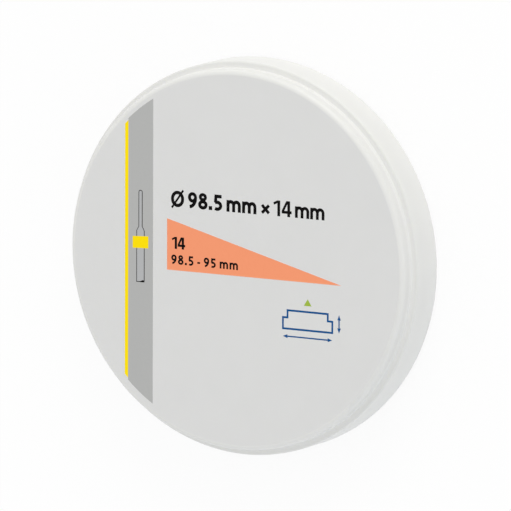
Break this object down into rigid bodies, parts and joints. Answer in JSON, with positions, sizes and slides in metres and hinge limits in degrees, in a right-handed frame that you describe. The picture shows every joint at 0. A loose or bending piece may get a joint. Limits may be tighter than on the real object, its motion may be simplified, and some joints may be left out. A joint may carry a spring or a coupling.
{
  "type": "dental milling disc",
  "caption": "Round pre-sintered ceramic blank with a wide clamping collar and a smaller raised front step, milled into dental crowns and bridges.",
  "frame": {"origin": "centre of the flat back face, on which the disc lies", "axes": "+Z out of the printed front face, +Y towards the top of the print, +X to the right of the print"},
  "size_m": [0.0984, 0.0984, 0.014],
  "materials": {
    "zirconia": "matte, chalky"
  },
  "bodies": {
    "root": {"milling_disc": "zirconia"}
  },
  "joints": []
}
